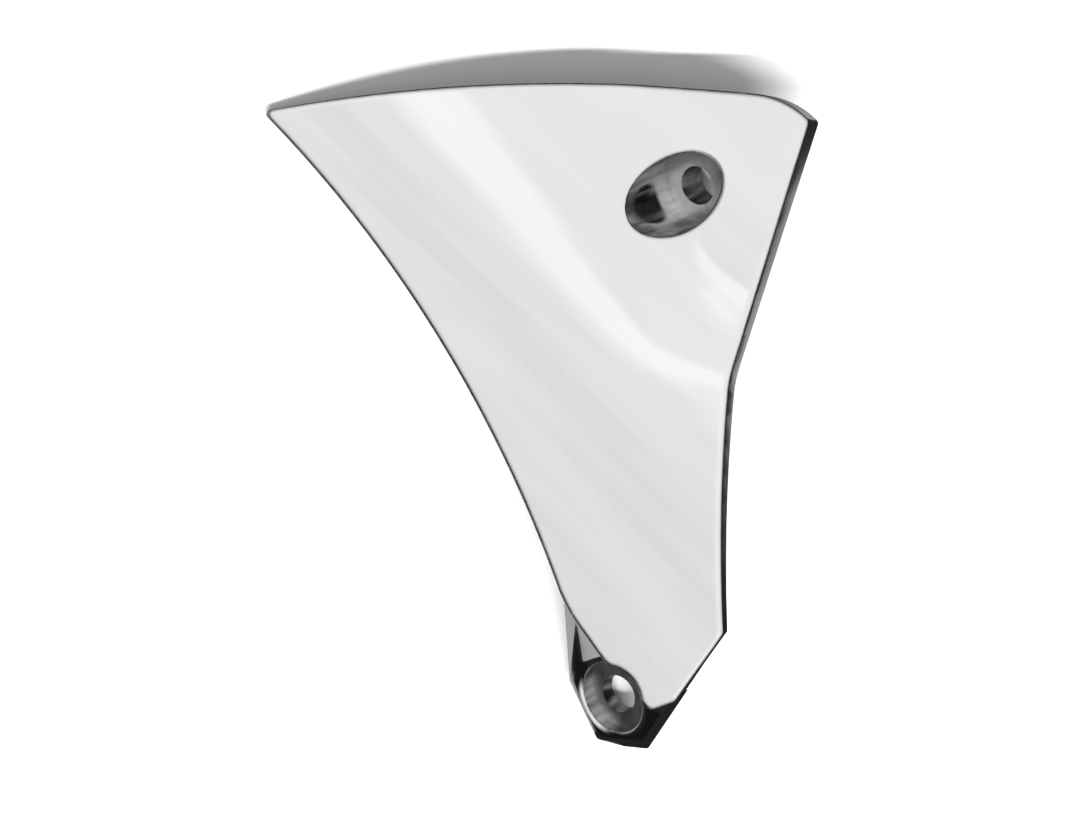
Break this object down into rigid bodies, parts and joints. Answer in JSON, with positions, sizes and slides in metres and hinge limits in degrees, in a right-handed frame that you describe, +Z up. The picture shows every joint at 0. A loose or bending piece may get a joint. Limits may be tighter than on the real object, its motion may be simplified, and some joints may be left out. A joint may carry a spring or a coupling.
{
  "type": "wheel spoke insert",
  "caption": "Chrome-plated blade-shaped insert for a wheel spoke, with a folded face, a rim boss and a stepped toe, each with a slanting counterbored screw hole.",
  "frame": {"origin": "centre of the bounding box's footprint, on the bench the insert lies on", "axes": "+X to the right seen from above, +Y from the toe towards the rim end, +Z up, out of the polished face"},
  "size_m": [0.0918, 0.1106, 0.02],
  "materials": {
    "chrome": "mirror-polished chrome plate on cast aluminium"
  },
  "bodies": {
    "root": {"spoke_insert": "chrome"}
  },
  "joints": []
}
